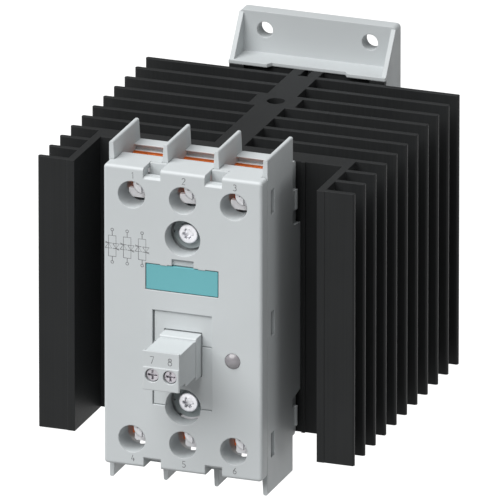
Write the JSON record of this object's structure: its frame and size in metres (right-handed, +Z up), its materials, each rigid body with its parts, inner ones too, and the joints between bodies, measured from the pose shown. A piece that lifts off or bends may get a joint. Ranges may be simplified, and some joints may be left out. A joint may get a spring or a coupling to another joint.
{
  "type": "solid state relay",
  "caption": "Three-phase solid state relay module with screw terminals and a plug-in control connector, on a black finned heat sink with a rear rail adapter.",
  "frame": {"origin": "centre of the rear mounting plane, in the middle of the four panel holes and of the rail groove", "axes": "+Z up as mounted on a wall, +Y out of the back towards the panel, so that the relay's front looks along -Y; +X to the right seen from the front"},
  "size_m": [0.09, 0.127, 0.1063],
  "materials": {
    "anodised": "black anodised extrusion, satin",
    "housing_grey": "light grey moulded thermoplastic, fine spark-eroded grain",
    "adapter_grey": "light grey glass-filled plastic",
    "latch_grey": "mid grey moulded plastic",
    "label_teal": "turquoise plain label plate",
    "copper": "bare copper strip",
    "zinc_steel": "zinc plated steel",
    "nickel_plate": "nickel plated base plate",
    "lens": "smoky clear light guide",
    "board": "green circuit board",
    "black_epoxy": "black moulded package",
    "led_body": "white package",
    "ceramic": "white alumina",
    "silicon": "metallised silicon chip",
    "washer_grey": "dark grey moulded ring",
    "satin_zinc": "satin zinc plating on the clamps and terminal screws",
    "plain_steel": "bright steel, a little dull",
    "pad": "grey heat-conducting foil"
  },
  "bodies": {
    "root": {"heat_sink": "anodised", "rail_adapter": "adapter_grey", "adapter_screws": "zinc_steel", "latch_spring": "zinc_steel", "thermal_pad": "pad", "base_plate": "nickel_plate", "ceramic_substrates": "ceramic", "thyristor_chips": "silicon", "relay_housing": "housing_grey", "front_cover": "housing_grey", "label_plate": "label_teal", "control_insert": "housing_grey", "light_lens": "lens", "fixing_screws": "zinc_steel", "fixing_washers": "washer_grey", "control_board": "board", "optocouplers": "black_epoxy", "board_components": "black_epoxy", "status_led": "led_body", "header_pins": "zinc_steel", "gate_pins": "zinc_steel", "line_bar_1": "copper", "line_bar_2": "copper", "line_bar_3": "copper", "load_bar_1": "copper", "load_bar_2": "copper", "load_bar_3": "copper"},
    "rail_latch": {"rail_latch": "latch_grey"},
    "control_plug": {"plug_body": "housing_grey", "plug_contacts": "copper"},
    "plug_screw_1": {"plug_screw_1": "plain_steel"},
    "plug_cage_1": {"plug_cage_1": "zinc_steel"},
    "plug_screw_2": {"plug_screw_2": "plain_steel"},
    "plug_cage_2": {"plug_cage_2": "zinc_steel"},
    "line_clamp_1": {"line_clamp_1": "satin_zinc"},
    "line_screw_1": {"line_screw_1": "satin_zinc"},
    "line_clamp_2": {"line_clamp_2": "satin_zinc"},
    "line_screw_2": {"line_screw_2": "satin_zinc"},
    "line_clamp_3": {"line_clamp_3": "satin_zinc"},
    "line_screw_3": {"line_screw_3": "satin_zinc"},
    "load_clamp_1": {"load_clamp_1": "satin_zinc"},
    "load_screw_1": {"load_screw_1": "satin_zinc"},
    "load_clamp_2": {"load_clamp_2": "satin_zinc"},
    "load_screw_2": {"load_screw_2": "satin_zinc"},
    "load_clamp_3": {"load_clamp_3": "satin_zinc"},
    "load_screw_3": {"load_screw_3": "satin_zinc"}
  },
  "joints": [
    {"name": "rail_latch_slide", "type": "slide", "parent": "root", "child": "rail_latch", "axis": [0, 0, -1], "range_m": [0, 0.004], "stiffness_N_per_m": 900, "springref_m": -0.003, "deforming": ["latch_spring"]},
    {"name": "control_plug_slide", "type": "slide", "parent": "root", "child": "control_plug", "axis": [0, -1, 0], "range_m": [0, 0.02]},
    {"name": "plug_screw_1_turn", "type": "hinge", "parent": "control_plug", "child": "plug_screw_1", "pos_m": [-0.00255, -0.122, -0.0093], "axis": [0, 1, 0], "range_deg": [0, 1520.5]},
    {"name": "plug_cage_1_slide", "type": "slide", "parent": "control_plug", "child": "plug_cage_1", "axis": [0, -1, 0], "range_m": [0, 0.0019]},
    {"name": "plug_screw_2_turn", "type": "hinge", "parent": "control_plug", "child": "plug_screw_2", "pos_m": [0.00255, -0.122, -0.0093], "axis": [0, 1, 0], "range_deg": [0, 1520.5]},
    {"name": "plug_cage_2_slide", "type": "slide", "parent": "control_plug", "child": "plug_cage_2", "axis": [0, -1, 0], "range_m": [0, 0.0019]},
    {"name": "line_clamp_1_slide", "type": "slide", "parent": "root", "child": "line_clamp_1", "axis": [0, 1, 0], "range_m": [0, 0.0042]},
    {"name": "line_screw_1_turn", "type": "hinge", "parent": "line_clamp_1", "child": "line_screw_1", "pos_m": [-0.0145, -0.101, 0.03475], "axis": [0, 1, 0], "range_deg": [0, 2160.5]},
    {"name": "line_clamp_2_slide", "type": "slide", "parent": "root", "child": "line_clamp_2", "axis": [0, 1, 0], "range_m": [0, 0.0042]},
    {"name": "line_screw_2_turn", "type": "hinge", "parent": "line_clamp_2", "child": "line_screw_2", "pos_m": [0, -0.101, 0.03475], "axis": [0, 1, 0], "range_deg": [0, 2160.5]},
    {"name": "line_clamp_3_slide", "type": "slide", "parent": "root", "child": "line_clamp_3", "axis": [0, 1, 0], "range_m": [0, 0.0042]},
    {"name": "line_screw_3_turn", "type": "hinge", "parent": "line_clamp_3", "child": "line_screw_3", "pos_m": [0.0145, -0.101, 0.03475], "axis": [0, 1, 0], "range_deg": [0, 2160.5]},
    {"name": "load_clamp_1_slide", "type": "slide", "parent": "root", "child": "load_clamp_1", "axis": [0, 1, 0], "range_m": [0, 0.0042]},
    {"name": "load_screw_1_turn", "type": "hinge", "parent": "load_clamp_1", "child": "load_screw_1", "pos_m": [-0.0145, -0.101, -0.03475], "axis": [0, 1, 0], "range_deg": [0, 2160.5]},
    {"name": "load_clamp_2_slide", "type": "slide", "parent": "root", "child": "load_clamp_2", "axis": [0, 1, 0], "range_m": [0, 0.0042]},
    {"name": "load_screw_2_turn", "type": "hinge", "parent": "load_clamp_2", "child": "load_screw_2", "pos_m": [0, -0.101, -0.03475], "axis": [0, 1, 0], "range_deg": [0, 2160.5]},
    {"name": "load_clamp_3_slide", "type": "slide", "parent": "root", "child": "load_clamp_3", "axis": [0, 1, 0], "range_m": [0, 0.0042]},
    {"name": "load_screw_3_turn", "type": "hinge", "parent": "load_clamp_3", "child": "load_screw_3", "pos_m": [0.0145, -0.101, -0.03475], "axis": [0, 1, 0], "range_deg": [0, 2160.5]}
  ],
  "couplings": [
    {"joint": "plug_screw_1_turn", "follows": "plug_cage_1_slide", "rad_per_m": 13963},
    {"joint": "plug_screw_2_turn", "follows": "plug_cage_2_slide", "rad_per_m": 13963},
    {"joint": "line_screw_1_turn", "follows": "line_clamp_1_slide", "rad_per_m": 8976},
    {"joint": "line_screw_2_turn", "follows": "line_clamp_2_slide", "rad_per_m": 8976},
    {"joint": "line_screw_3_turn", "follows": "line_clamp_3_slide", "rad_per_m": 8976},
    {"joint": "load_screw_1_turn", "follows": "load_clamp_1_slide", "rad_per_m": 8976},
    {"joint": "load_screw_2_turn", "follows": "load_clamp_2_slide", "rad_per_m": 8976},
    {"joint": "load_screw_3_turn", "follows": "load_clamp_3_slide", "rad_per_m": 8976}
  ]
}
